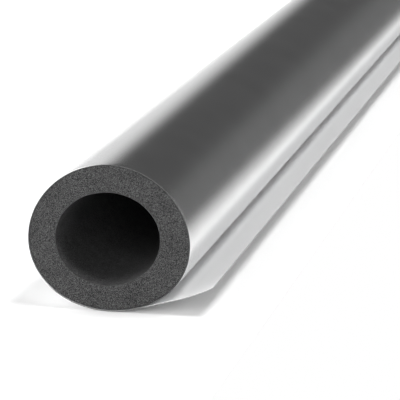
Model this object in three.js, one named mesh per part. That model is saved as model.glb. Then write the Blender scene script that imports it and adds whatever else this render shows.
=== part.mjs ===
// A length of foam pipe insulation with a foil jacket, lying on its side.
// The soft tube has settled into a flattened round, and the jacket wraps it once.
// The jacket's free edge leaves the tube low on one side as a lap flap that curls up off the floor.
// Millimetres, +Z up. The tube runs along Y. The origin is on the floor, under the middle of the part.

import * as THREE from "three";

// Foam tube
const tubeLength = 1000;
const boreWidth = 51;
const boreHeight = 45;
const sideWall = 13.5;
// Wall above and below the bore, before the underside settles
const topWall = 12.5;
// How far the bore sits off the middle, towards the side without the flap
const boreAside = 0.5;
// How far the bore's long axis rises towards the flap's side, in degrees
const boreLean = 7;
// How much flatter than an oval the underside is, and how much higher the crown
const settle = 0.5;

// Foil jacket
const foilThickness = 0.35;
// Room between the foam's skin and the jacket that is bonded to it
const bondGap = 0.3;

// Lap flap: where it leaves the tube, in degrees round from the lowest point
const flapRootTurn = 19.5;
const flapStraight = 20.5;
const flapCurl = 19;
const flapCurlRadius = 95;
// Room between the flap and the jacket's other edge, which ends just above it
const seamGap = 0.35;

// Facets round the tube, each about 5 mm wide, and along the curl of the flap
const roundFacets = 48;
const curlFacets = 6;
// The narrowest facet the jacket may have next to an edge, as a share of a full one
const leastFacet = 0.1;

const foamColour = 0x4a4a4a;
const foilColour = 0xc9cbcc;

const foamHalfWidth = boreWidth / 2 + sideWall;
const foamHalfHeight = boreHeight / 2 + topWall;
const fullTurn = 2 * Math.PI;
const facetTurn = fullTurn / roundFacets;
const bottomTurn = -Math.PI / 2;

// A point on the foam's skin, at a turn counted from +X towards +Z
function skinPoint(turn) {
  const lobe = settle * Math.sin(3 * turn);
  const x = (foamHalfWidth - lobe) * Math.cos(turn);
  return new THREE.Vector2(x, (foamHalfHeight - lobe) * Math.sin(turn));
}

// The outward direction of the skin there, square to the way the skin runs
function skinNormal(turn) {
  const lobe = settle * Math.sin(3 * turn);
  const lobeSlope = 3 * settle * Math.cos(3 * turn);
  const runX = -(foamHalfWidth - lobe) * Math.sin(turn) - lobeSlope * Math.cos(turn);
  const runZ = (foamHalfHeight - lobe) * Math.cos(turn) - lobeSlope * Math.sin(turn);
  return new THREE.Vector2(runZ, -runX).normalize();
}

function borePoint(turn) {
  const point = new THREE.Vector2((boreWidth / 2) * Math.cos(turn), (boreHeight / 2) * Math.sin(turn));
  point.rotateAround(new THREE.Vector2(), THREE.MathUtils.degToRad(boreLean));
  point.x -= boreAside;
  return point;
}

// The turn of a facet's corner, half a facet on, so that one flat facet lies level at the bottom
function cornerTurn(i) {
  return bottomTurn + (i + 0.5) * facetTurn;
}

function closedOutline(pointAt) {
  return Array.from({ length: roundFacets }, (_, i) => pointAt(cornerTurn(i)));
}

// One place on the sheet: a point on the foam's skin or on the skin line's continuation,
// and the direction in which the sheet's thickness is measured
function station(point, normal) {
  return { point, normal };
}

function skinStation(turn) {
  return station(skinPoint(turn), skinNormal(turn));
}

// The turn at which the jacket has risen far enough above the straight flap to clear it
function jacketStartTurn(root) {
  const clearance = foilThickness + seamGap;
  let turn = bottomTurn + THREE.MathUtils.degToRad(flapRootTurn);
  let rise = 0;
  while (rise < clearance) {
    turn += facetTurn * leastFacet;
    rise = root.point.clone().sub(skinPoint(turn)).dot(root.normal);
  }
  return turn;
}

// The sheet from its hidden edge, once round the foam over the top, and out along the flap
function jacketStations() {
  const rootTurn = bottomTurn + THREE.MathUtils.degToRad(flapRootTurn);
  const root = skinStation(rootTurn);
  const startTurn = jacketStartTurn(root);
  const endTurn = rootTurn + fullTurn;
  const stations = [skinStation(startTurn)];
  for (let i = 0; i < 2 * roundFacets; i += 1) {
    const turn = cornerTurn(i);
    if (turn > startTurn + leastFacet * facetTurn && turn < endTurn - leastFacet * facetTurn) {
      stations.push(skinStation(turn));
    }
  }
  stations.push(root);
  // The way the sheet runs where it leaves the tube
  const along = new THREE.Vector2(-root.normal.y, root.normal.x);
  const curlStart = root.point.clone().addScaledVector(along, flapStraight);
  const curlCentre = curlStart.clone().addScaledVector(root.normal, -flapCurlRadius);
  for (let i = 0; i <= curlFacets; i += 1) {
    const bend = (flapCurl / flapCurlRadius) * (i / curlFacets);
    const normal = root.normal.clone().rotateAround(new THREE.Vector2(), bend);
    stations.push(station(curlCentre.clone().addScaledVector(normal, flapCurlRadius), normal));
  }
  return stations;
}

function foamTube() {
  const section = new THREE.Shape(closedOutline(skinPoint));
  section.holes.push(new THREE.Path(closedOutline(borePoint)));
  return section;
}

function foilJacket() {
  const stations = jacketStations();
  const innerFace = stations.map((s) => s.point.clone().addScaledVector(s.normal, bondGap));
  const outerFace = stations.map(
    (s) => s.point.clone().addScaledVector(s.normal, bondGap + foilThickness),
  );
  return new THREE.Shape([...outerFace, ...innerFace.reverse()]);
}

// Extrudes a section over the tube's length and lays it along Y, near end at -Y
function alongTube(section) {
  const geometry = new THREE.ExtrudeGeometry(section, { depth: tubeLength, bevelEnabled: false });
  geometry.translate(0, 0, -tubeLength / 2);
  geometry.rotateX(Math.PI / 2);
  return geometry;
}

function piece(name, section, colour, roughness, metalness) {
  const material = new THREE.MeshStandardMaterial({ color: colour, roughness, metalness });
  const mesh = new THREE.Mesh(alongTube(section), material);
  mesh.name = name;
  return mesh;
}

const part = new THREE.Group();
part.add(piece("foam_tube", foamTube(), foamColour, 0.95, 0));
part.add(piece("foil_jacket", foilJacket(), foilColour, 0.3, 1));

// Puts the origin on the floor under the middle of the whole part
const box = new THREE.Box3().setFromObject(part);
const middle = box.getCenter(new THREE.Vector3());
for (const mesh of part.children) {
  mesh.position.set(-middle.x, -middle.y, -box.min.z);
}

export default part;
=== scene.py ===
"""A length of foam pipe insulation in a foil jacket: its finishes, stage, light and camera."""

import math

import bpy
from bpy.props import FloatProperty, FloatVectorProperty, IntProperty, PointerProperty
from mathutils import Matrix, Vector


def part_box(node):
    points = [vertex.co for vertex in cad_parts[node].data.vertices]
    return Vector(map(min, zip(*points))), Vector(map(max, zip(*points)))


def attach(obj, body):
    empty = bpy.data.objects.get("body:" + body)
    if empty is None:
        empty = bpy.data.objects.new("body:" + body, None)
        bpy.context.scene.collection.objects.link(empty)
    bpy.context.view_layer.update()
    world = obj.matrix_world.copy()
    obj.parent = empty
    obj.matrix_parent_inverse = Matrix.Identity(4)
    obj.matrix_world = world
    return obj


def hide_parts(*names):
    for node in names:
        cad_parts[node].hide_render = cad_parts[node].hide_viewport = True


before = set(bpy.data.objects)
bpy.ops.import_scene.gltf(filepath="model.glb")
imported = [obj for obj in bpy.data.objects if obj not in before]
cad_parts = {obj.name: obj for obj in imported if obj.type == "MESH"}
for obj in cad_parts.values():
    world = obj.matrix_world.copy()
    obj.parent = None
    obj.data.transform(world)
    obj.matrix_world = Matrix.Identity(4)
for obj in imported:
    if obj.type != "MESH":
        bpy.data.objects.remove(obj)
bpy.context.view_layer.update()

bl_info = {
    "name": "Foil-Jacketed Pipe Lagging",
    "version": (1, 0, 0),
    "blender": (4, 5, 0),
    "location": "View3D > Sidebar > Pipe Lagging",
    "description": "Makes a foam pipe insulation tube, its foil jacket, and a plain studio round them",
    "category": "Object",
}

FOAM_LOW, FOAM_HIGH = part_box("foam_tube")
FOIL_LOW, FOIL_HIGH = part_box("foil_jacket")
# The jacket stands this far off the foam's skin, outside to outside
JACKET_REACH = FOIL_HIGH.z - FOAM_HIGH.z
TUBE_LENGTH = FOAM_HIGH.y - FOAM_LOW.y
NEAR_END = FOAM_LOW.y
MM = 0.001
# Points closer than this are joined when a piece is closed
JOIN_DISTANCE = 0.002 * MM


class TubeSizes(bpy.types.PropertyGroup):
    """Sizes of the foam tube"""

    half_width: FloatProperty(
        name="Half Width", description="Half of the foam's width before it settles",
        default=39 * MM, min=0.005, unit="LENGTH", precision=4)
    half_height: FloatProperty(
        name="Half Height", description="Half of the foam's height before it settles",
        default=35 * MM, min=0.005, unit="LENGTH", precision=4)
    settle: FloatProperty(
        name="Settle", description="How much flatter than an oval the underside is",
        default=0.5 * MM, min=0.0, unit="LENGTH", precision=5)
    bore_half_width: FloatProperty(
        name="Bore Half Width", description="Half of the bore's long way across",
        default=25.5 * MM, min=0.002, unit="LENGTH", precision=4)
    bore_half_height: FloatProperty(
        name="Bore Half Height", description="Half of the bore's short way across",
        default=22.5 * MM, min=0.002, unit="LENGTH", precision=4)
    bore_aside: FloatProperty(
        name="Bore Aside", description="How far the bore sits away from the flap's side",
        default=0.5 * MM, unit="LENGTH", precision=5)
    bore_lean: FloatProperty(
        name="Bore Lean", description="How far the bore's long way rises towards the flap's side",
        default=math.radians(7), unit="ROTATION")
    pinch: FloatProperty(
        name="Pinch", description="How far the knife has drawn the rim in at each cut end",
        default=0.35 * MM, min=0.0, unit="LENGTH", precision=5)
    cell_size: FloatProperty(
        name="Cell Size", description="Width of the larger cells that the knife opened",
        default=0.9 * MM, min=0.0002, unit="LENGTH", precision=5)
    cell_depth: FloatProperty(
        name="Cell Depth", description="Depth of the pits in the cut face",
        default=0.1 * MM, min=0.0, unit="LENGTH", precision=5)
    columns: IntProperty(
        name="Columns", description="Faces round the tube", default=480, min=24)
    seed: FloatProperty(
        name="Seed", description="Changes the random cells", default=3.0)


class JacketSizes(bpy.types.PropertyGroup):
    """Sizes of the foil jacket and its lap flap"""

    thickness: FloatProperty(
        name="Thickness", description="Thickness of the foil laminate",
        default=0.35 * MM, min=0.0001, unit="LENGTH", precision=5)
    root_turn: FloatProperty(
        name="Flap Root", description="Where the flap leaves the tube, round from its lowest point",
        default=math.radians(19.5), unit="ROTATION")
    seam_gap: FloatProperty(
        name="Seam Gap", description="Room between the flap and the jacket's hidden edge",
        default=0.35 * MM, min=0.0, unit="LENGTH", precision=5)
    straight: FloatProperty(
        name="Flap Straight", description="Length of the flap's flat part",
        default=20.5 * MM, min=0.0, unit="LENGTH", precision=4)
    curl: FloatProperty(
        name="Flap Curl", description="Length of the flap's curled part, along the sheet",
        default=19 * MM, min=0.0001, unit="LENGTH", precision=4)
    curl_radius: FloatProperty(
        name="Curl Radius", description="Radius of the flap's curl",
        default=95 * MM, min=0.005, unit="LENGTH", precision=4)
    burr: FloatProperty(
        name="Burr", description="How far the knife has drawn the sheet in at each cut end",
        default=0.06 * MM, min=0.0, unit="LENGTH", precision=5)
    buckle: FloatProperty(
        name="Buckle", description="How far the flap's free edge waves up and down",
        default=0.5 * MM, min=0.0, unit="LENGTH", precision=5)
    ripple: FloatProperty(
        name="Ripple", description="How far the wrapped sheet dips where the foam gives",
        default=0.05 * MM, min=0.0, unit="LENGTH", precision=5)
    rows: IntProperty(
        name="Rows", description="Faces along the jacket", default=240, min=2)
    seed: FloatProperty(
        name="Seed", description="Changes the random waves", default=8.0)


class Finishes(bpy.types.PropertyGroup):
    """Colours of the foam, the foil and the floor"""

    # Painted shade: this darkest colour goes deep in the foam's open cells, where shade falls in them
    foam_dark_and_cell_shade: FloatVectorProperty(
        name="Open Cells", description="Colour deep in the foam's open cells",
        subtype="COLOR", size=3, default=(0.005, 0.005, 0.0051), min=0, max=1)
    foam_light: FloatVectorProperty(
        name="Cell Walls", description="Colour of the cut cell walls",
        subtype="COLOR", size=3, default=(0.085, 0.085, 0.0857), min=0, max=1)
    skin: FloatVectorProperty(
        name="Foam Skin", description="Colour of the smooth skin in the bore",
        subtype="COLOR", size=3, default=(0.073, 0.073, 0.0737), min=0, max=1)
    foil: FloatVectorProperty(
        name="Foil", description="Colour of the bare foil",
        subtype="COLOR", size=3, default=(0.89, 0.892, 0.895), min=0, max=1)
    backing: FloatVectorProperty(
        name="Backing", description="Colour of the coated side that the flap turns up",
        subtype="COLOR", size=3, default=(0.555, 0.557, 0.56), min=0, max=1)
    edge: FloatVectorProperty(
        name="Cut Edge", description="Colour of the laminate's cut edge",
        subtype="COLOR", size=3, default=(0.08, 0.08, 0.08), min=0, max=1)
    floor: FloatVectorProperty(
        name="Floor", description="Colour of the floor",
        subtype="COLOR", size=3, default=(0.74, 0.74, 0.74), min=0, max=1)


class Studio(bpy.types.PropertyGroup):
    """The plain studio: its walls, white panels and camera"""

    wall: FloatProperty(
        name="Wall", description="Brightness of the dark wall past the tube's far end",
        default=0.056, min=0)
    side_wall: FloatProperty(
        name="Side Wall", description="Brightness of the foot of that wall, on the flap's side",
        default=0.107, min=0)
    left_panel: FloatProperty(
        name="Left Panel", description="Brightness of the white panel on the left",
        default=0.71, min=0)
    left_light: FloatProperty(
        name="Left Light", description="Brightness of the low lit panel far out on the left",
        default=9.0, min=0)
    ground: FloatProperty(
        name="Ground", description="Brightness of the white ground past the floor",
        default=1.0, min=0)
    key: FloatProperty(
        name="Key Panel", description="Brightness of the panel high up on the flap's side",
        default=17.2, min=0)
    right_panel: FloatProperty(
        name="Right Panel", description="Brightness of the panel on the flap's side",
        default=2.1, min=0)
    front_panel: FloatProperty(
        name="Front Panel", description="Brightness of the panel behind the camera",
        default=3.4, min=0)
    back_panel: FloatProperty(
        name="Back Panel", description="Brightness of the panel high up past the far end",
        default=1.5, min=0)
    ceiling: FloatProperty(
        name="Ceiling", description="Brightness of the ceiling", default=0.1, min=0)
    view_turn: FloatProperty(
        name="View Turn", description="How far the camera looks round from the tube's own direction",
        default=math.radians(12.56), unit="ROTATION")
    view_drop: FloatProperty(
        name="View Drop", description="How far the camera looks down",
        default=math.radians(13.05), unit="ROTATION")
    view_distance: FloatProperty(
        name="View Distance", description="Distance to the tube's near end, along the view",
        default=1.0825, unit="LENGTH")
    lens: FloatProperty(
        name="Lens", description="Focal length on a 36 mm sensor, in millimetres", default=207.4)


class Wire:
    """A number inside a node tree. Adding or multiplying wires adds the Math nodes that do it."""

    def __init__(self, tree, socket):
        self.tree = tree
        self.socket = socket

    def math(self, operation, *others):
        node = self.tree.nodes.new("ShaderNodeMath")
        node.operation = operation
        for slot, value in zip(node.inputs, (self, *others)):
            feed(self.tree, slot, value)
        return Wire(self.tree, node.outputs[0])

    def __add__(self, other):
        return self.math("ADD", other)

    def __sub__(self, other):
        return self.math("SUBTRACT", other)

    def __mul__(self, other):
        return self.math("MULTIPLY", other)

    def __truediv__(self, other):
        return self.math("DIVIDE", other)

    def __neg__(self):
        return self.math("MULTIPLY", -1.0)

    __radd__ = __add__
    __rmul__ = __mul__

    def __rsub__(self, other):
        return (-self).math("ADD", other)

    def __rtruediv__(self, other):
        return self.math("POWER", -1.0) * other

    def sin(self):
        return self.math("SINE")

    def cos(self):
        return self.math("COSINE")

    def clamp(self):
        """The number kept between 0 and 1."""
        return self.math("MINIMUM", 1.0).math("MAXIMUM", 0.0)

    def swing(self, amount):
        """How far the number lies from 0.5, times the amount."""
        return (self - 0.5) * amount

    def step(self, edge, softness):
        """0 below the edge and 1 above it, changing smoothly over the softness."""
        node = self.tree.nodes.new("ShaderNodeMapRange")
        node.interpolation_type = "SMOOTHSTEP"
        feed(self.tree, node.inputs["Value"], self)
        feed(self.tree, node.inputs["From Min"], edge - softness / 2)
        feed(self.tree, node.inputs["From Max"], edge + softness / 2)
        return Wire(self.tree, node.outputs["Result"])

    def band(self, low, high, softness):
        """1 between the two edges and 0 outside them."""
        return self.step(low, softness) * (1.0 - self.step(high, softness))


def feed(tree, slot, value):
    """Links a wire or socket to an input, or sets the input to a plain value."""
    if isinstance(value, Wire):
        value = value.socket
    if isinstance(value, bpy.types.NodeSocket):
        tree.links.new(value, slot)
    else:
        slot.default_value = value


def add_node(tree, kind, settings=(), **inputs):
    """Adds a node, sets its own settings, and feeds the inputs named with underscores."""
    node = tree.nodes.new(kind)
    for name, value in dict(settings).items():
        setattr(node, name, value)
    for name, value in inputs.items():
        feed(tree, node.inputs[name.replace("_", " ")], value)
    return node


def vector(tree, x, y, z):
    """A place in space from its three numbers."""
    return add_node(tree, "ShaderNodeCombineXYZ", X=x, Y=y, Z=z).outputs[0]


def new_tree(name, labels):
    """A Geometry Nodes tree with one named input for each size. Returns the tree and its wires."""
    tree = bpy.data.node_groups.new(name, "GeometryNodeTree")
    tree.interface.new_socket("Geometry", in_out="OUTPUT", socket_type="NodeSocketGeometry")
    for label in labels:
        tree.interface.new_socket(label, in_out="INPUT", socket_type="NodeSocketFloat")
    inputs = tree.nodes.new("NodeGroupInput")
    return tree, {label: Wire(tree, inputs.outputs[label]) for label in labels}


def skin_place(tree, turn, wires):
    """The foam's skin at a turn from +X towards +Z: x, z and the outward direction there."""
    lobe = wires["Settle"] * (turn * 3.0).sin()
    lobe_slope = wires["Settle"] * 3.0 * (turn * 3.0).cos()
    wide = wires["Half Width"] - lobe
    high = wires["Half Height"] - lobe
    run_x = -(wide * turn.sin()) - lobe_slope * turn.cos()
    run_z = high * turn.cos() - lobe_slope * turn.sin()
    run = (run_x * run_x + run_z * run_z).math("SQRT")
    return wide * turn.cos(), high * turn.sin(), run_z / run, -run_x / run


def noise(tree, place, scale, detail, seed):
    """Smooth random values about 0.5 from a place in space."""
    node = add_node(
        tree, "ShaderNodeTexNoise", {"noise_dimensions": "4D"},
        Vector=place, W=seed, Scale=scale, Detail=detail)
    return Wire(tree, node.outputs[0])


def cells(tree, place, scale, seed):
    """Distance to the nearest random point, in cells."""
    node = add_node(
        tree, "ShaderNodeTexVoronoi", {"voronoi_dimensions": "4D"}, Vector=place, W=seed, Scale=scale)
    return Wire(tree, node.outputs["Distance"])


def finish_tree(tree, geometry, material, *others):
    """Ends a tree in Realize Instances and Set Material. Others are pairs of faces and material."""
    real = add_node(tree, "GeometryNodeRealizeInstances", Geometry=geometry)
    last = add_node(tree, "GeometryNodeSetMaterial", Geometry=real.outputs[0], Material=material)
    for faces, other in others:
        last = add_node(
            tree, "GeometryNodeSetMaterial",
            Geometry=last.outputs[0], Selection=faces, Material=other)
    output = tree.nodes.new("NodeGroupOutput")
    feed(tree, output.inputs[0], last.outputs[0])


def foam_tree(labels, cut_material, skin_material):
    """The foam tube: one sheet of faces rolled round the bore, both cut ends and the outside."""
    # Rows along the bore and along the outside, and rows across each cut end
    wall_rows, face_rows = 40, 34
    roll_scale, roll_height = 90.0, 0.5 * MM
    knife_scale, knife_height = 110.0, 0.25 * MM
    pit_steepness, fine_cells = 1.4, 1.3
    tree, wires = new_tree("Foam tube", labels)
    rows = 2 * (wall_rows + face_rows)
    grid = add_node(tree, "GeometryNodeMeshGrid", Size_X=1.0, Size_Y=1.0)
    columns = wires["Columns"]
    feed(tree, grid.inputs["Vertices X"], columns + 1)
    grid.inputs["Vertices Y"].default_value = rows + 1
    spot = add_node(tree, "GeometryNodeInputPosition")
    split = add_node(tree, "ShaderNodeSeparateXYZ", Vector=spot.outputs[0])
    turn = (Wire(tree, split.outputs["X"]) + 0.5) * math.tau
    row = (Wire(tree, split.outputs["Y"]) + 0.5) * rows

    # How far out from bore to skin, and how far along the tube, for each row
    out = ((row - wall_rows) / face_rows).clamp() - (
        (row - 2 * wall_rows - face_rows) / face_rows).clamp()
    along = (row / wall_rows).clamp() - ((row - wall_rows - face_rows) / wall_rows).clamp()
    # Rows lie closer together near the ends
    along = 0.5 - (along * math.pi).cos() * 0.5
    on_cut = add_node(
        tree, "GeometryNodeCaptureAttribute", {"domain": "FACE"}, Geometry=grid.outputs["Mesh"])
    on_cut.capture_items.new("BOOLEAN", "On Cut")
    whole = (out * (1.0 - out)).math("GREATER_THAN", 0.0)
    feed(tree, on_cut.inputs["On Cut"], whole)

    almost_half = 0.499999
    at_end = (along - 0.5).math("ABSOLUTE").math("GREATER_THAN", almost_half)
    skin_x, skin_z, out_x, out_z = skin_place(tree, turn, wires)
    beyond = wires["Bond"] - at_end * wires["Pinch"]
    skin_x = skin_x + out_x * beyond
    skin_z = skin_z + out_z * beyond
    long_way = wires["Bore Half Width"] * turn.cos()
    short_way = wires["Bore Half Height"] * turn.sin()
    lean = wires["Bore Lean"]
    bore_x = long_way * lean.cos() - short_way * lean.sin() - wires["Bore Aside"]
    bore_z = long_way * lean.sin() + short_way * lean.cos()
    x = bore_x + (skin_x - bore_x) * out + wires["Axis X"]
    z = bore_z + (skin_z - bore_z) * out + wires["Axis Z"]
    y = (along - 0.5) * wires["Length"]

    # The bore's skin rolls gently; the cut faces are pitted by open cells and wave with the knife
    smooth_place = vector(tree, x, y, z)
    seed = wires["Seed"]
    roll = noise(tree, smooth_place, roll_scale, 1.0, seed).swing(roll_height) * (1.0 - out)
    pit = 1.0 - cells(tree, smooth_place, 1.0 / wires["Cell Size"], seed) * pit_steepness
    knife = noise(tree, smooth_place, knife_scale, 2.0, seed) * knife_height
    fine = noise(tree, smooth_place, fine_cells / wires["Cell Size"], 1.0, seed)
    sink = pit.clamp() * wires["Cell Depth"] + fine * wires["Cell Depth"] + knife
    inward = (0.5 - along).math("SIGN")
    place_now = vector(
        tree, x + roll * turn.cos(), y + sink * at_end * inward, z + roll * turn.sin())
    rolled = add_node(
        tree, "GeometryNodeSetPosition", Geometry=on_cut.outputs["Geometry"], Position=place_now)
    closed = add_node(
        tree, "GeometryNodeMergeByDistance", Geometry=rolled.outputs[0], Distance=JOIN_DISTANCE)
    finish_tree(tree, closed.outputs[0], skin_material, (on_cut.outputs["On Cut"], cut_material))
    return tree


def jacket_tree(labels, backing_material, foil_material, edge_material):
    """The jacket, a sheet with thickness: once round the skin, straight off it, then the curl."""
    wrap_columns, straight_columns, curl_columns = 140, 10, 14
    columns = wrap_columns + straight_columns + curl_columns
    # The last rows at each end, the length of one, and how much thinner the sheet is pressed there
    end_rows, end_step, pressed = 6.0, 0.35 * MM, 0.3
    dip_scale, swell_scale, swell_from = 28.0, 9.0, 0.3
    # How much of the free edge's wave the flap has where its curl begins
    wave_at_curl = 0.35
    tree, wires = new_tree("Foil jacket", labels)
    grid = add_node(tree, "GeometryNodeMeshGrid", Size_X=1.0, Size_Y=1.0)
    grid.inputs["Vertices X"].default_value = columns + 1
    rows = wires["Rows"]
    feed(tree, grid.inputs["Vertices Y"], rows + 1)
    spot = add_node(tree, "GeometryNodeInputPosition")
    split = add_node(tree, "ShaderNodeSeparateXYZ", Vector=spot.outputs[0])
    column = (Wire(tree, split.outputs["X"]) + 0.5) * columns
    wrap = (column / wrap_columns).clamp()
    straight = ((column - wrap_columns) / straight_columns).clamp()
    curl = ((column - wrap_columns - straight_columns) / curl_columns).clamp()
    # Short rows at each end, where the knife has drawn the sheet in and pressed it thin
    row = (Wire(tree, split.outputs["Y"]) + 0.5) * rows
    inside = ((row - end_rows) / (rows - 2.0 * end_rows)).clamp()
    near = (row / end_rows).clamp() * end_rows
    far = ((row - rows + end_rows) / end_rows).clamp() * end_rows
    y = (near + far) * end_step + inside * (wires["Length"] - 2.0 * end_rows * end_step)
    y = y - wires["Length"] * 0.5

    turn = wires["Start Turn"] + wrap * (wires["End Turn"] - wires["Start Turn"])
    x, z, out_x, out_z = skin_place(tree, turn, wires)
    # The flap runs on square to the outward direction, then bends about a centre above it
    bend = curl * wires["Flap Curl"] / wires["Curl Radius"]
    ahead = straight * wires["Flap Straight"] + bend.sin() * wires["Curl Radius"]
    up = (1.0 - bend.cos()) * wires["Curl Radius"]
    x = x - out_z * ahead - out_x * up
    z = z + out_x * ahead - out_z * up
    face_x = out_x * bend.cos() - out_z * bend.sin()
    face_z = out_z * bend.cos() + out_x * bend.sin()

    # Waves only ever take the sheet inwards, so it stays within its size
    level = vector(tree, x, y, z)
    dip = noise(tree, level, dip_scale, 2.0, wires["Seed"]) * wires["Ripple"]
    free = straight * wave_at_curl + curl * (1.0 - wave_at_curl)
    crosswise = vector(tree, 0.0, y, 0.0)
    swell = noise(tree, crosswise, swell_scale, 2.0, wires["Seed"])
    lift = (swell - swell_from).clamp() * wires["Buckle"] * free * free
    drawn = 1.0 - (near * (end_rows - far)) / (end_rows * end_rows)
    drawn = drawn * drawn * wires["Burr"] * (1.0 - straight)
    off = wires["Bond Gap"] - dip * wrap - lift - drawn
    place_now = vector(tree, x + face_x * off + wires["Axis X"], y, z + face_z * off + wires["Axis Z"])
    inner = add_node(
        tree, "GeometryNodeSetPosition", Geometry=grid.outputs["Mesh"], Position=place_now)
    turned = add_node(tree, "GeometryNodeFlipFaces", Mesh=inner.outputs[0])
    # The sheet's thickness stands outwards
    here = add_node(
        tree, "ShaderNodeSeparateXYZ", Vector=add_node(tree, "GeometryNodeInputPosition").outputs[0])
    from_end = wires["Length"] * 0.5 - Wire(tree, here.outputs["Y"]).math("ABSOLUTE")
    full = 1.0 - pressed + (from_end / (end_rows * end_step)).clamp() * pressed
    outer = add_node(
        tree, "GeometryNodeExtrudeMesh", Mesh=turned.outputs[0], Offset_Scale=wires["Thickness"] * full)
    outer.inputs["Individual"].default_value = False
    both = tree.nodes.new("GeometryNodeJoinGeometry")
    feed(tree, both.inputs[0], outer.outputs["Mesh"])
    feed(tree, both.inputs[0], inner.outputs[0])
    closed = add_node(
        tree, "GeometryNodeMergeByDistance", Geometry=both.outputs[0], Distance=JOIN_DISTANCE)
    finish_tree(
        tree, closed.outputs[0], backing_material,
        (outer.outputs["Top"], foil_material), (outer.outputs["Side"], edge_material))
    return tree


def own_keys(group):
    """The keys of a property group's own values."""
    return [key for key in group.bl_rna.properties.keys() if key not in ("rna_type", "name")]


def input_values(group):
    """The sizes of a property group, keyed by the names that a tree's inputs have."""
    return {group.bl_rna.properties[key].name: getattr(group, key) for key in own_keys(group)}


def mesh_from_tree(name, tree, values):
    """Runs a tree on an empty object and keeps the result as a plain mesh."""
    source = bpy.data.objects.new(name, bpy.data.meshes.new(name))
    bpy.context.scene.collection.objects.link(source)
    modifier = source.modifiers.new("Shape", "NODES")
    modifier.node_group = tree
    for item in tree.interface.items_tree:
        if item.in_out == "INPUT":
            modifier[item.identifier] = float(values[item.name])
    graph = bpy.context.evaluated_depsgraph_get()
    mesh = bpy.data.meshes.new_from_object(source.evaluated_get(graph))
    mesh.name = name
    source.modifiers.clear()
    source.data = mesh
    return source


def shade(piece, sharp_angle):
    """Smooth faces, with crisp edges where they meet at more than the angle."""
    piece.data.shade_smooth()
    piece.data.set_sharp_from_angle(angle=sharp_angle)


def new_material(name):
    """A material with one Principled shader. Returns the material, its tree, shader and place."""
    material = bpy.data.materials.new(name)
    material.use_nodes = True
    tree = material.node_tree
    shader = tree.nodes["Principled BSDF"]
    place = add_node(tree, "ShaderNodeTexCoord").outputs["Object"]
    return material, tree, shader, place


def between(tree, amount, low, high):
    """A colour between two others. The low one may itself come from a node."""
    # This node's sockets for colours share their names with its others, so they go by place
    low_slot, high_slot, result = 6, 7, 2
    node = add_node(tree, "ShaderNodeMix", {"data_type": "RGBA"})
    feed(tree, node.inputs["Factor"], amount)
    feed(tree, node.inputs[low_slot], low if isinstance(low, bpy.types.NodeSocket) else (*low, 1.0))
    feed(tree, node.inputs[high_slot], (*high, 1.0))
    return node.outputs[result]


def times(colour, amount):
    """A colour made lighter or darker, but no lighter than white paint or clean foil."""
    palest = 0.88
    return tuple(min(part * amount, palest) for part in colour)


def roughen(tree, shader, strength, depth, height):
    """Fine relief that is too small for the mesh."""
    bump = add_node(tree, "ShaderNodeBump", Strength=strength, Distance=depth, Height=height)
    feed(tree, shader.inputs["Normal"], bump.outputs[0])


def cut_foam_material(finish, sizes):
    """Freshly cut closed-cell foam: a salt and pepper of tiny open cells and their walls, with painted
    shade deep in the cells.
    """
    material, tree, shader, place = new_material("cut_foam")
    small_cell = 0.4 * sizes.cell_size
    pits_and_shade = cells(tree, place, scale=1.0 / small_cell, seed=1.0)
    grain = noise(tree, place, scale=1.5 / small_cell, detail=1.0, seed=2.0)
    cloud = noise(tree, place, scale=70.0, detail=3.0, seed=3.0)
    # The cells' mean depth and the share of pale walls balance the tone about its middle
    mean_pit, pale_walls = 0.45, 0.08
    # Painted shade: the tone darkens towards the middle of each open cell, with random grain and cloud
    # on top
    tone = pits_and_shade - mean_pit + grain.swing(9.0) + cloud.swing(0.8) + pale_walls
    feed(tree, shader.inputs["Base Color"],
         between(tree, tone.clamp(), finish.foam_dark_and_cell_shade, finish.foam_light))
    feed(tree, shader.inputs["Roughness"], 0.8 + grain * 0.15)
    shader.inputs["Specular IOR Level"].default_value = 0.35
    roughen(tree, shader, strength=0.7, depth=0.14 * MM, height=pits_and_shade + grain * 0.5)
    return material


def foam_skin_material(finish):
    """The smooth skin that the foam forms in its bore, dull with a faint sheen."""
    material, tree, shader, place = new_material("foam_skin")
    mottle = noise(tree, place, scale=260.0, detail=3.0, seed=5.0)
    speck = noise(tree, place, scale=1500.0, detail=2.0, seed=6.0)
    middle_tone = 0.45
    tone = mottle.swing(1.2) + speck.swing(4.0) + middle_tone
    feed(tree, shader.inputs["Base Color"],
         between(tree, tone.clamp(), times(finish.skin, 0.4), times(finish.skin, 1.7)))
    feed(tree, shader.inputs["Roughness"], 0.4 + mottle * 0.16)
    shader.inputs["Specular IOR Level"].default_value = 0.2
    roughen(tree, shader, strength=0.35, depth=0.1 * MM, height=mottle + speck * 0.4)
    return material


def foil_material(finish):
    """Bare rolled foil on a plastic film: bright satin metal with faint lengthwise drag."""
    material, tree, shader, place = new_material("foil_laminate")
    stretched = add_node(tree, "ShaderNodeMapping", Vector=place, Scale=(1.0, 0.03, 1.0)).outputs[0]
    drag = noise(tree, stretched, scale=900.0, detail=2.0, seed=4.0)
    cloud = noise(tree, place, scale=45.0, detail=3.0, seed=7.0)
    grain = noise(tree, place, scale=2600.0, detail=1.0, seed=9.0)
    tone = cloud.swing(1.5) + drag.swing(0.8) + 0.5
    feed(tree, shader.inputs["Base Color"],
         between(tree, tone.clamp(), times(finish.foil, 0.965), finish.foil))
    shader.inputs["Metallic"].default_value = 1.0
    feed(tree, shader.inputs["Roughness"], 0.19 + cloud * 0.04 + grain * 0.02)
    roughen(tree, shader, strength=0.2, depth=0.003 * MM, height=drag + grain * 0.3)
    return material


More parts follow.
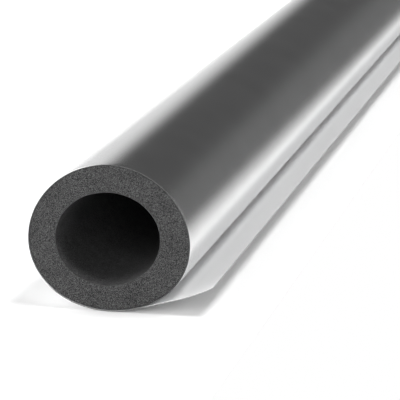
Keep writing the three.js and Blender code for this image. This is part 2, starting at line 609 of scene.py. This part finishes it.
def backing_material(finish):
    """The sheet's coated inner side: near white, satin, with a faint cloudiness, and painted light
    towards the fold.
    """
    material, tree, shader, place = new_material("jacket_backing")
    cloud = noise(tree, place, scale=60.0, detail=3.0, seed=12.0)
    grain = noise(tree, place, scale=1800.0, detail=2.0, seed=13.0)
    tone = cloud.swing(1.6) + grain.swing(0.8) + 0.5
    coat = between(tree, tone.clamp(), times(finish.backing, 0.95), finish.backing)
    # Painted light: the coating is made paler towards the fold, up to this line along the flap, to lift
    # the shade in the crevice between flap and tube
    painted_light_edge, painted_light_fade = 27 * MM, 11 * MM
    split = add_node(tree, "ShaderNodeSeparateXYZ", Vector=place)
    painted_light_near_fold = 1.0 - Wire(tree, split.outputs["X"]).step(painted_light_edge, painted_light_fade)
    feed(tree, shader.inputs["Base Color"],
         between(tree, painted_light_near_fold, coat, times(finish.backing, 1.5)))
    feed(tree, shader.inputs["Roughness"], 0.4 + cloud * 0.12)
    shader.inputs["Specular IOR Level"].default_value = 0.6
    # A few faint folds run across the flap
    crosswise = add_node(tree, "ShaderNodeMapping", Vector=place, Scale=(0.2, 1.0, 0.2)).outputs[0]
    wave = noise(tree, crosswise, scale=55.0, detail=1.0, seed=14.0)
    # Only the wave's highest crests are sharp enough to show as folds
    crest, fold_height = 0.62, 36.0
    folds = (wave - crest).clamp() * fold_height
    roughen(tree, shader, strength=0.3, depth=0.02 * MM, height=grain * 0.5 + cloud + folds)
    return material


def cut_edge_material(finish):
    """Where the knife went through the sheet: grey film, with a painted highlight of foil colour in
    places.
    """
    material, tree, shader, place = new_material("jacket_cut_edge")
    nicks = noise(tree, place, scale=1400.0, detail=2.0, seed=15.0)
    split = add_node(tree, "ShaderNodeSeparateXYZ", Vector=place)
    x, z = Wire(tree, split.outputs["X"]), Wire(tree, split.outputs["Z"])
    # Painted highlight: foil colour on the film high on the left, and a little on the flap
    left_lean, left_line, left_fade, ragged = 0.35, 38 * MM, 12 * MM, 10 * MM
    upper_left_highlight = (z * left_lean - x + nicks.swing(ragged)).step(left_line, left_fade)
    # The flap's end lies below a line that rises with it
    flap_rise, flap_line, flap_highlight_share = 0.438, -2.1 * MM, 0.3
    on_flap = 1.0 - (z - x * flap_rise).step(flap_line, 1 * MM)
    painted_highlight = upper_left_highlight.math("MAXIMUM", on_flap * flap_highlight_share)
    film = between(tree, nicks, times(finish.edge, 0.6), times(finish.edge, 1.5))
    # Painted highlight: foil colour over the film where the highlight mask is
    feed(tree, shader.inputs["Base Color"], between(tree, painted_highlight, film, finish.foil))
    feed(tree, shader.inputs["Roughness"], 0.45 + nicks * 0.25)
    roughen(tree, shader, strength=0.3, depth=0.05 * MM, height=nicks)
    return material


def floor_material(finish):
    """Matt pale board with the faintest tooth."""
    material, tree, shader, place = new_material("floor_board")
    tooth = noise(tree, place, scale=350.0, detail=3.0, seed=11.0)
    feed(tree, shader.inputs["Base Color"],
         between(tree, tooth, times(finish.floor, 0.99), finish.floor))
    shader.inputs["Roughness"].default_value = 1.0
    shader.inputs["Specular IOR Level"].default_value = 0.0
    return material


def axis_place(tube):
    """Where the tube's own middle line runs, from the frame."""
    return {
        "Axis X": (FOAM_LOW.x + FOAM_HIGH.x) / 2,
        "Axis Z": FOIL_LOW.z + JACKET_REACH + tube.half_height - tube.settle,
    }


def jacket_start_turn(tube, jacket):
    """The turn at which the wrapped sheet has risen clear of the flap that leaves below it."""
    def skin(turn):
        lobe = tube.settle * math.sin(3 * turn)
        return Vector(((tube.half_width - lobe) * math.cos(turn),
                       (tube.half_height - lobe) * math.sin(turn)))

    small = math.radians(0.1)
    root_turn = -math.pi / 2 + jacket.root_turn
    root = skin(root_turn)
    run = (skin(root_turn + small) - skin(root_turn - small)).normalized()
    outward = Vector((run.y, -run.x))
    turn = root_turn
    while (root - skin(turn)).dot(outward) < jacket.thickness + jacket.seam_gap:
        turn += small
    return turn


class LAGGING_OT_foam_tube(bpy.types.Operator):
    """Makes the foam tube with its pitted cut ends and smooth bore"""

    bl_idname = "lagging.foam_tube"
    bl_label = "Foam Tube"

    def execute(self, context):
        tube = context.scene.lagging_tube
        finish = context.scene.lagging_finish
        jacket = context.scene.lagging_jacket
        values = input_values(tube)
        values.update(axis_place(tube))
        values["Length"] = TUBE_LENGTH
        # The visible foam fills the bond line, almost up to the jacket's dips
        dip_room = jacket.ripple * 1.2
        values["Bond"] = JACKET_REACH - jacket.thickness - dip_room
        tree = foam_tree(values, cut_foam_material(finish, tube), foam_skin_material(finish))
        piece = mesh_from_tree("foam_tube_dressed", tree, values)
        shade(piece, sharp_angle=math.radians(50))
        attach(piece, "root")
        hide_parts("foam_tube")
        return {"FINISHED"}


class LAGGING_OT_foil_jacket(bpy.types.Operator):
    """Makes the foil jacket with its lap flap"""

    bl_idname = "lagging.foil_jacket"
    bl_label = "Foil Jacket"

    def execute(self, context):
        tube = context.scene.lagging_tube
        jacket = context.scene.lagging_jacket
        finish = context.scene.lagging_finish
        values = input_values(jacket)
        # These two sizes only set where the wrapped sheet starts and ends
        root_turn = values.pop("Flap Root") - math.pi / 2
        values.pop("Seam Gap")
        values.update(axis_place(tube))
        values.update({
            "Length": TUBE_LENGTH,
            "Half Width": tube.half_width,
            "Half Height": tube.half_height,
            "Settle": tube.settle,
            "Bond Gap": JACKET_REACH - jacket.thickness,
            "Start Turn": jacket_start_turn(tube, jacket),
            "End Turn": root_turn + math.tau,
        })
        tree = jacket_tree(
            values, backing_material(finish), foil_material(finish), cut_edge_material(finish))
        piece = mesh_from_tree("foil_jacket_dressed", tree, values)
        shade(piece, sharp_angle=math.radians(40))
        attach(piece, "root")
        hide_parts("foil_jacket")
        return {"FINISHED"}


class LAGGING_OT_stage(bpy.types.Operator):
    """Makes the floor, the studio light and the camera"""

    bl_idname = "lagging.stage"
    bl_label = "Stage"

    def execute(self, context):
        studio = context.scene.lagging_studio
        make_floor(context, floor_material(context.scene.lagging_finish))
        make_world(context, studio)
        make_camera(context, studio)
        context.scene.view_settings.view_transform = "Standard"
        return {"FINISHED"}


def make_floor(context, material):
    """A pale board under the tube. Beyond it the studio's ground is the same white."""
    left, right, front, back = -1.4, 0.07, -1.2, 1.6
    mesh = bpy.data.meshes.new("floor")
    low = -0.05 * MM
    corners = [(left, front, low), (right, front, low), (right, back, low), (left, back, low)]
    mesh.from_pydata(corners, [], [(0, 1, 2, 3)])
    floor = bpy.data.objects.new("floor", mesh)
    context.scene.collection.objects.link(floor)
    mesh.materials.append(material)


def make_world(context, studio):
    """White ground, a dark wall past the far end, and panels of light round the room."""
    world = bpy.data.worlds.new("studio")
    context.scene.world = world
    world.use_nodes = True
    tree = world.node_tree
    split = add_node(
        tree, "ShaderNodeSeparateXYZ", Vector=add_node(tree, "ShaderNodeTexCoord").outputs["Generated"])
    x, y, z = (Wire(tree, split.outputs[axis]) for axis in "XYZ")
    # Degrees above the floor, and degrees round from the tube's far end towards the flap's side
    height = z.math("ARCSINE") * math.degrees(1)
    side = x.math("ARCTAN2", y) * math.degrees(1)

    # How far the panels' edges fade, round the room and upwards
    side_fade, height_fade = 8.0, 4.0

    def panel(sides, heights):
        """How much of a panel shows in this direction: 1 inside its edges, 0 outside them."""
        return side.band(*sides, side_fade) * height.band(*heights, height_fade)

    # The wall's foot is lighter on the right, where its upper edge leans up
    foot_top, foot_lean, foot_fade = 4.4, 0.55, 11.0
    foot = 1.0 - (height - side * foot_lean).step(foot_top, foot_fade)
    light = studio.wall + foot * (studio.side_wall - studio.wall)
    # The left panel's upright edge leans, and a dark gap divides its left part from the light below
    left_edge, left_lean = -11.7, 0.2
    left = (1.0 - (side + height * left_lean).step(left_edge, 10.0)) * side.step(-140.0, 10.0)
    gap = (1.0 - side.step(-52.0, side_fade)) * height.band(25.0, 40.0, height_fade)
    front = (1.0 - side.band(-130.0, 152.0, 10.0)) * (1.0 - height.step(38.0, height_fade))
    high_up = (60.0, 76.0)
    panels = (
        (left * (1.0 - gap), studio.left_panel),
        (panel((-140.0, -48.0), (7.0, 25.0)), studio.left_light),
        (front, studio.front_panel),
        (panel((38.0, 105.0), (6.0, 36.0)), studio.right_panel),
        (height.step(high_up[0], height_fade), studio.ceiling),
        (panel((-45.0, 45.0), high_up), studio.back_panel),
        (panel((45.0, 135.0), high_up), studio.key),
    )
    for share, brightness in panels:
        light = light + share * (brightness - light)
    # The ground's edge lies highest on the left, and rises again towards the right
    ground_edge, ground_fade, rise, rise_ends = -13.2, 14.0, 10.5, 30.0
    lift = rise * (1.0 - side.step(-1.0, side_fade)) + rise * (side / rise_ends).clamp()
    ground = 1.0 - (height - lift).step(ground_edge, ground_fade)
    light = light + ground * (studio.ground - light)
    background = tree.nodes["Background"]
    background.inputs["Color"].default_value = (1.0, 1.0, 1.0, 1.0)
    feed(tree, background.inputs["Strength"], light)


def make_camera(context, studio):
    """The photograph's view: the near end's middle falls on its pixel in the picture."""
    picture_width = 400
    face_pixel = (108.17, 239.49)
    sensor = 36.0
    tube = context.scene.lagging_tube
    axis = axis_place(tube)
    data = bpy.data.cameras.new("camera")
    data.lens = studio.lens
    data.sensor_width = sensor
    data.clip_end = 100.0
    camera = bpy.data.objects.new("camera", data)
    context.scene.collection.objects.link(camera)
    forward = Vector((
        -math.sin(studio.view_turn) * math.cos(studio.view_drop),
        math.cos(studio.view_turn) * math.cos(studio.view_drop),
        -math.sin(studio.view_drop),
    ))
    right = Vector((math.cos(studio.view_turn), math.sin(studio.view_turn), 0.0))
    above = right.cross(forward)
    pixel = studio.view_distance * sensor / studio.lens / picture_width
    middle = Vector((axis["Axis X"], NEAR_END, axis["Axis Z"]))
    aside = (face_pixel[0] - picture_width / 2) * pixel
    below = (face_pixel[1] - picture_width / 2) * pixel
    camera.location = middle - forward * studio.view_distance - right * aside + above * below
    turned = Matrix((right, above, -forward)).transposed()
    camera.rotation_euler = turned.to_euler()
    context.scene.camera = camera


class LAGGING_PT_panel(bpy.types.Panel):
    """Sizes, colours and the steps that make the lagging"""

    bl_idname = "LAGGING_PT_panel"
    bl_label = "Pipe Lagging"
    bl_space_type = "VIEW_3D"
    bl_region_type = "UI"
    bl_category = "Pipe Lagging"

    def draw(self, context):
        for name in GROUPS:
            group = getattr(context.scene, name)
            box = self.layout.box()
            for key in own_keys(group):
                box.prop(group, key)
        for operator in OPERATORS:
            self.layout.operator(operator.bl_idname)


GROUPS = {
    "lagging_tube": TubeSizes,
    "lagging_jacket": JacketSizes,
    "lagging_finish": Finishes,
    "lagging_studio": Studio,
}
OPERATORS = (LAGGING_OT_stage, LAGGING_OT_foam_tube, LAGGING_OT_foil_jacket)


def register():
    for name, group in GROUPS.items():
        bpy.utils.register_class(group)
        setattr(bpy.types.Scene, name, PointerProperty(type=group))
    for operator in OPERATORS:
        bpy.utils.register_class(operator)
    bpy.utils.register_class(LAGGING_PT_panel)


def unregister():
    bpy.utils.unregister_class(LAGGING_PT_panel)
    for operator in reversed(OPERATORS):
        bpy.utils.unregister_class(operator)
    for name, group in reversed(GROUPS.items()):
        delattr(bpy.types.Scene, name)
        bpy.utils.unregister_class(group)


def main():
    register()
    bpy.ops.lagging.stage()
    bpy.ops.lagging.foam_tube()
    bpy.ops.lagging.foil_jacket()


if __name__ == "__main__":
    main()
